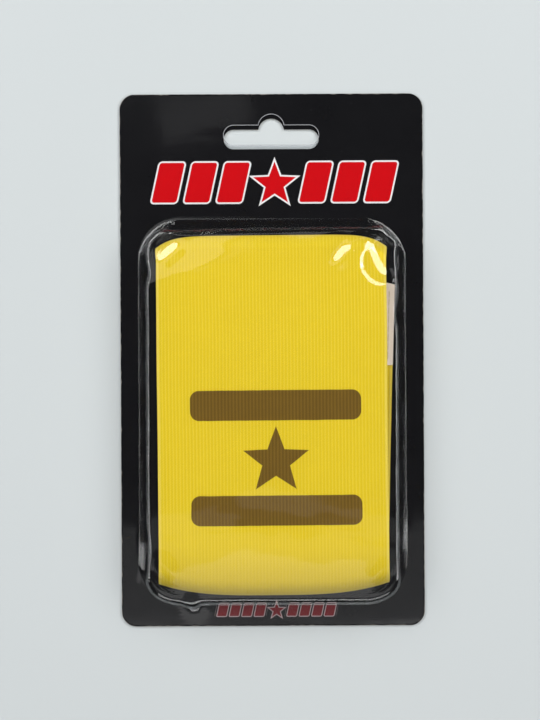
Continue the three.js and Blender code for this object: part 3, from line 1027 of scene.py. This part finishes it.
def draw_lines(film, place):
    """Fine lines round the tray's corners, where the film was drawn thin."""
    x, y = film.parts(place)[:2]
    from_middle = film.math("ABSOLUTE", film.math("SUBTRACT", y, shell_middle.y))
    beside = film.math("SUBTRACT", film.math("ABSOLUTE", x), shell_half.x - SHELL_CORNER)
    ahead = film.math("SUBTRACT", from_middle, shell_half.y - SHELL_CORNER)
    squares = [film.math("MULTIPLY", value, value) for value in (beside, ahead)]
    far = film.math("SQRT", film.math("ADD", *squares))
    angle = film.math("ARCTAN2", ahead, beside)
    round_corner = film.math("MULTIPLY", angle, DRAW_LINES_STRETCH)
    spot = film.node("CombineXYZ", {0: far, 1: round_corner, 2: 0.0}).outputs[0]
    lines = film.grain(spot, (1700, 900, 1))
    in_corner = film.fade(film.math("MINIMUM", beside, ahead), -1 * MM, 2 * MM)
    mask = film.math("MULTIPLY", in_corner, film.fade(far, *DRAW_LINES_NEAR))
    mask = film.math("MULTIPLY", mask, film.fade(far, *DRAW_LINES_FAR, 1.0, 0.0))
    return film.math("MULTIPLY", film.math("MULTIPLY", lines, mask), 0.9)


# Card


def card_finish():
    """Glossy black print over grey board: pale worn edges, bare back, and the printed rows."""
    card = Finish("printed_card")
    place = card.place()
    x, y = card.parts(place)[:2]
    facing = card.parts(card.node("NewGeometry").outputs["Normal"])[2]
    half = (card_high - card_low) / 2
    edge = card.box(x, y, half.x, half.y, CARD_CORNER)
    rough_edge = card.grain(place, (420, 420, 420), 4.0)
    wear = card.math("ADD", edge, card.math("MULTIPLY", rough_edge, WEAR_SPREAD))
    worn = card.fade(wear, *WEAR_EDGE, 0.0, 0.8)
    mottle = card.grain(place, (90, 90, 90), 3.0)
    black = card.mix(mottle, paint(13, 13, 15), paint(21, 21, 23))
    specks = card.grain(place, (1500, 1500, 1500), 1.0)
    black = card.mix(card.fade(specks, 0.8, 0.86, 0.0, 0.5), black, paint(120, 120, 120))
    printed = black
    for row in PRINT_ROWS:
        printed = print_row(card, x, y, printed, row)
    core = card.mix(rough_edge, paint(118, 114, 108), paint(168, 164, 158))
    printed = card.mix(worn, printed, core)
    board = card.mix(mottle, paint(176, 172, 164), paint(192, 188, 181))
    back = card.mix(card.fade(rough_edge, 0.45, 0.7, 0.0, 0.35), board, paint(150, 146, 138))
    colour = card.mix(card.fade(facing, -0.5, -0.4), back, core)
    colour = card.mix(card.fade(facing, 0.4, 0.5), colour, printed)
    gloss = card.fade(facing, 0.4, 0.5, 0.85, 0.12)
    fibres = card.grain(place, (1400, 1400, 1400), 3.0)
    height = card.math("ADD", fibres, card.math("MULTIPLY", mottle, 2.0))
    return card.surface(
        {
            "Base Color": colour,
            "Roughness": card.math("ADD", gloss, card.math("MULTIPLY", worn, 0.4)),
            "Specular IOR Level": 0.2,
            "Normal": card.bump(height, 0.03 * MM, 0.6),
        }
    )


def print_row(card, x, y, below, row):
    """A printed row: a star between slanted blocks, each with a pale keyline round it."""
    from_y = card.math("SUBTRACT", y, row["middle_y"] * MM)
    from_x = card.math("SUBTRACT", x, row["middle_x"] * MM)
    slanted = card.math("SUBTRACT", from_x, card.math("MULTIPLY", from_y, ROW_SLANT))
    beside = card.math("SUBTRACT", card.math("ABSOLUTE", slanted), row["gap"] * MM)
    pitch = row["pitch"] * MM
    in_block = card.math("SUBTRACT", card.math("WRAP", beside, pitch, 0.0), pitch / 2)
    block = card.box(in_block, from_y, row["block"] / 2 * MM, row["height"] / 2 * MM, row["corner"] * MM)
    last = card.math("SUBTRACT", beside, row["blocks"] * pitch)
    first = card.math("MULTIPLY", beside, -1.0)
    distance = card.math("MAXIMUM", card.math("MAXIMUM", last, first), block)
    star_y = card.math("ADD", from_y, row["star"] * ROW_STAR_DROP * MM)
    star = card.star(from_x, star_y, row["star"] * MM)
    distance = card.math("MINIMUM", distance, star)
    rim = row["keyline"] * MM
    keyline = card.fade(distance, rim - PRINT_SHARP, rim + PRINT_SHARP, 1.0, 0.0)
    inked = card.fade(distance, -PRINT_SHARP, PRINT_SHARP, 1.0, 0.0)
    marked = card.mix(keyline, below, paint(*row["pale"]))
    return card.mix(inked, marked, paint(*row["ink"]))


# Setting


def make_floor():
    """The pale surface that the card lies on."""
    bpy.ops.object.select_all(action="DESELECT")
    bpy.ops.mesh.primitive_plane_add(size=FLOOR_SIZE, location=(0, 0, card_low.z - FLOOR_DROP))
    floor = bpy.context.object
    floor.name = "floor"
    sheet = Finish("pale_floor")
    tone = sheet.grain(sheet.place(), (3, 3, 3), 1.0)
    colour = sheet.mix(tone, paint(189, 195, 196), paint(193, 198, 199))
    floor.data.materials.append(sheet.surface({"Base Color": colour, "Roughness": 0.9}))


def add_light(name, azimuth_deg, tilt_deg, distance, width, height, power):
    """A soft panel that faces the card, tilt_deg away from straight above."""
    azimuth, tilt = math.radians(azimuth_deg), math.radians(tilt_deg)
    way = Vector(
        (math.cos(azimuth) * math.sin(tilt), math.sin(azimuth) * math.sin(tilt), math.cos(tilt))
    )
    panel = bpy.data.lights.new(name, "AREA")
    panel.shape = "RECTANGLE"
    panel.size = width
    panel.size_y = height
    panel.energy = power
    light = bpy.data.objects.new(name, panel)
    light.location = way * distance
    light.rotation_euler = way.to_track_quat("Z", "Y").to_euler()
    bpy.context.collection.objects.link(light)


def make_setting():
    """Floor, light panels, a dim world and the camera straight above the card."""
    make_floor()
    for panel in PANELS:
        add_light(*panel)
    world = bpy.data.worlds.new("studio")
    world.use_nodes = True
    background = world.node_tree.nodes["Background"]
    background.inputs["Color"].default_value = WORLD_TONE
    background.inputs["Strength"].default_value = 1
    scene = bpy.context.scene
    scene.world = world
    scene.view_settings.view_transform = "Standard"
    scene.cycles.transparent_max_bounces = SEE_THROUGH_BOUNCES
    lens = bpy.data.cameras.new("camera")
    lens.sensor_width = SENSOR
    lens.lens = SENSOR * CAMERA_HEIGHT / PHOTO_HEIGHT
    lens.clip_start = NEAREST_SEEN
    camera = bpy.data.objects.new("camera", lens)
    camera.location = (CAMERA_X, CAMERA_Y, CAMERA_HEIGHT)
    camera.rotation_euler = (0, 0, CAMERA_ROLL)
    bpy.context.collection.objects.link(camera)
    scene.camera = camera


def dress(piece, finishes, slot, *nodes):
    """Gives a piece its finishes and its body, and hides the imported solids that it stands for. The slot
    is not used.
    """
    piece.data.materials.clear()
    for finish in finishes:
        piece.data.materials.append(finish)
    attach(piece, "root")
    if nodes:
        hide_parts(*nodes)


make_setting()

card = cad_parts["backing_card"]
card.data.materials.clear()
card.data.materials.append(card_finish())

band, along = make_elastic_band()
front_start = INNER_STEPS + DIP_STEPS + TOP_FOLD_STEPS
front_start_y = strip_stations()[front_start][0] + loop_middle_y
plain_knit = elastic_finish("ribbed_knit")
printed_knit = elastic_finish("ribbed_knit_printed", along[front_start] + front_start_y - PRINT_MIDDLE_Y)
dress(band, (printed_knit, plain_knit), "elastic", "elastic_band")

hook_start_y = outer_end_y - PATCH_LENGTH
hook_middle_z = hook_low.z + TAPE_THICK / 2
hook_tape = make_tape("hook_tape_base", hook_start_y, hook_middle_z, TAPE_THICK, True)

loop_start_y = inner_end_y + PATCH_INSET
loop_end_y = loop_start_y + PATCH_LENGTH
loop_middle_z = (loop_low.z + loop_high.z) / 2
loop_tape = make_tape("loop_tape_pile", loop_start_y, loop_middle_z, loop_high.z - loop_low.z, False)

hooks = make_hooks()
hook_seam = make_seam("hook_tape_seam", hook_start_y, outer_end_y, hook_low.z + TAPE_THICK, True)
back_seam = make_seam("outer_end_seam", hook_start_y, outer_end_y, band_low.z, True)
inner_end_top_z = inner_end_z + BAND_THICK / 2
inner_seam = make_seam("inner_end_seam", loop_start_y, loop_end_y, inner_end_top_z, False)

beige = paint(252, 241, 233)
deep_beige = paint(238, 224, 213)
dress(hook_tape, [tape_finish("hook_tape_weave", beige, deep_beige, 1500)], "hook_tape", "hook_patch")
dress(loop_tape, [tape_finish("loop_tape_nap", beige, deep_beige, 3200)], "loop_tape", "loop_patch")
dress(hooks, [thread_finish("hook_nylon", beige, deep_beige)], "hook_tape")
seam_thread = thread_finish("seam_thread", paint(222, 208, 176), paint(186, 168, 130))
for seam in (hook_seam, back_seam, inner_seam):
    dress(seam, [seam_thread], "hook_tape")

film = make_film()
dress(film, [film_finish()], "film", "clear_shell")
